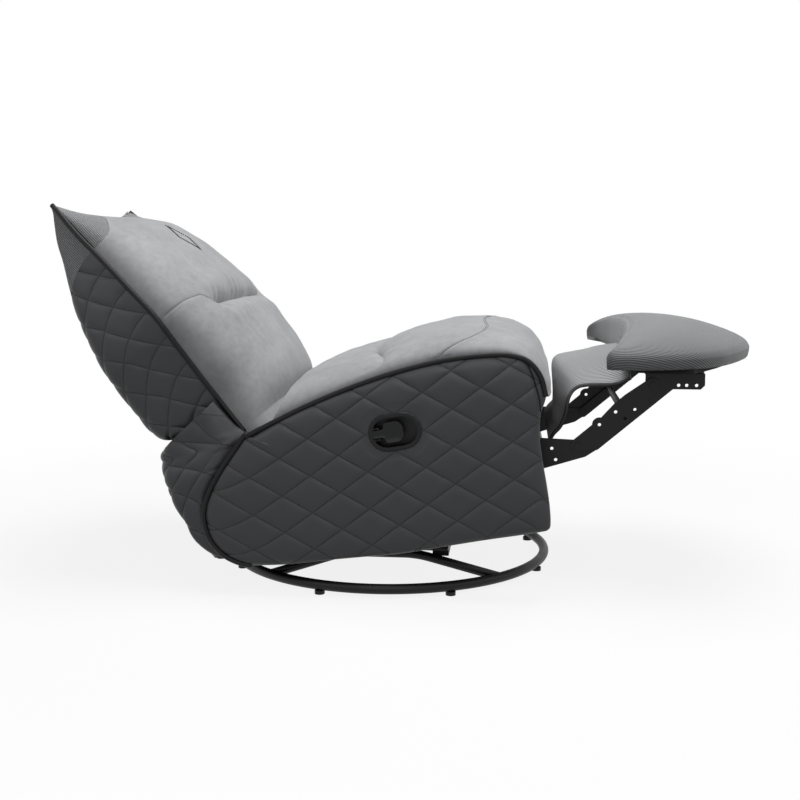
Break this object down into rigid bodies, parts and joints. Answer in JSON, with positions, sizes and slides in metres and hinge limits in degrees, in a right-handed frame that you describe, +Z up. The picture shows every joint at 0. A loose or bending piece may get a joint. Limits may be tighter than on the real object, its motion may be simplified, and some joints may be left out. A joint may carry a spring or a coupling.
{
  "type": "swivel rocker recliner chair",
  "caption": "Padded swivel rocker recliner with a winged back, quilted sides, a release lever and a folding footrest on a round tube base, shown leaned back with the footrest out.",
  "frame": {"origin": "centre of the bounding box's bottom face, on the floor, in the pose of the picture", "axes": "+Z up, the sitter faces -Y, +X is at the sitter's left; the swivel axis stands at x 0.002, y 0.050"},
  "size_m": [0.764, 1.5433, 0.8246],
  "materials": {
    "satin_black_steel": "satin powder coat",
    "zinc_steel": "zinc plated",
    "black_plastic": "moulded, fine texture",
    "plywood": "raw plywood",
    "grey_suede_cloth": "brushed faux suede over foam",
    "charcoal_leather": "quilted imitation leather over foam",
    "ribbed_cloth": "fine ribbed weave over foam"
  },
  "bodies": {
    "base": {"base_ring": "satin_black_steel", "base_rail_right": "satin_black_steel", "base_rail_left": "satin_black_steel", "base_channel_front": "satin_black_steel", "base_channel_rear": "satin_black_steel", "base_plate": "satin_black_steel", "swivel_bearing": "zinc_steel", "foot_1": "black_plastic", "foot_2": "black_plastic", "foot_3": "black_plastic", "foot_4": "black_plastic", "foot_5": "black_plastic", "foot_6": "black_plastic", "foot_7": "black_plastic", "foot_8": "black_plastic"},
    "turntable": {"turntable": "satin_black_steel", "swivel_pin": "zinc_steel", "rocker_stand_right": "satin_black_steel", "rocker_stand_left": "satin_black_steel"},
    "seat": {"rocker_hanger_right": "satin_black_steel", "rocker_hanger_left": "satin_black_steel", "cross_tube_front": "satin_black_steel", "cross_tube_rear": "satin_black_steel", "mechanism_plate_right": "satin_black_steel", "mechanism_plate_left": "satin_black_steel", "recline_arm_right": "satin_black_steel", "recline_arm_left": "satin_black_steel", "seat_rail_front": "satin_black_steel", "seat_rail_rear": "satin_black_steel", "seat_deck": "plywood", "seat_cushion": "grey_suede_cloth", "side_panel_right": "charcoal_leather", "side_panel_left": "charcoal_leather", "rear_skirt": "charcoal_leather", "lever_cup": "black_plastic", "calf_flap": "ribbed_cloth"},
    "back": {"back_shell": "charcoal_leather", "lumbar_cushion": "grey_suede_cloth", "headrest_cushion": "grey_suede_cloth", "back_bracket_right": "satin_black_steel", "back_bracket_left": "satin_black_steel"},
    "lever": {"release_lever": "black_plastic"},
    "lower_links": {"footrest_shaft": "zinc_steel", "lower_link_right": "satin_black_steel", "lower_link_left": "satin_black_steel"},
    "upper_links": {"upper_link_right": "satin_black_steel", "upper_link_left": "satin_black_steel"},
    "rear_links": {"rear_link_right": "satin_black_steel", "rear_link_left": "satin_black_steel", "footrest_spreader": "satin_black_steel"},
    "footrest": {"footrest_bracket_right": "satin_black_steel", "footrest_bracket_left": "satin_black_steel", "footrest_board": "plywood", "footrest_pad": "ribbed_cloth"}
  },
  "joints": [
    {"name": "swivel", "type": "hinge", "parent": "base", "child": "turntable", "pos_m": [0.002, 0.05005, 0.08], "axis": [0, 0, 1], "continuous": true},
    {"name": "rock", "type": "hinge", "parent": "turntable", "child": "seat", "pos_m": [0.002, 0.05005, 0.13], "axis": [1, 0, 0], "range_deg": [0, 10], "stiffness_Nm_per_rad": 250, "springref_deg": -20.05},
    {"name": "recline", "type": "hinge", "parent": "seat", "child": "back", "pos_m": [0.002, 0.37195, 0.4509], "axis": [1, 0, 0], "range_deg": [0, 30]},
    {"name": "lever_pull", "type": "hinge", "parent": "seat", "child": "lever", "pos_m": [-0.379, 0.03895, 0.3513], "axis": [0, -0.1736, -0.9848], "range_deg": [0, 40], "stiffness_Nm_per_rad": 0.3, "springref_deg": -5.73},
    {"name": "footrest_fold", "type": "hinge", "parent": "seat", "child": "lower_links", "pos_m": [0.002, -0.23595, 0.317], "axis": [1, 0, 0], "range_deg": [0, 85], "deforming": ["calf_flap"]},
    {"name": "upper_link_turn", "type": "hinge", "parent": "lower_links", "child": "upper_links", "pos_m": [0.002, -0.37793, 0.31452], "axis": [1, 0, 0], "range_deg": [-120.3, 0]},
    {"name": "rear_link_turn", "type": "hinge", "parent": "lower_links", "child": "rear_links", "pos_m": [0.002, -0.41393, 0.31452], "axis": [1, 0, 0], "range_deg": [-120.3, 0]},
    {"name": "footrest_turn", "type": "hinge", "parent": "upper_links", "child": "footrest", "pos_m": [0.002, -0.53092, 0.44565], "axis": [1, 0, 0], "range_deg": [0, 120.3]}
  ],
  "couplings": [
    {"joint": "upper_link_turn", "follows": "footrest_fold", "ratio": -1.414},
    {"joint": "rear_link_turn", "follows": "footrest_fold", "ratio": -1.414},
    {"joint": "footrest_turn", "follows": "footrest_fold", "ratio": 1.414}
  ]
}
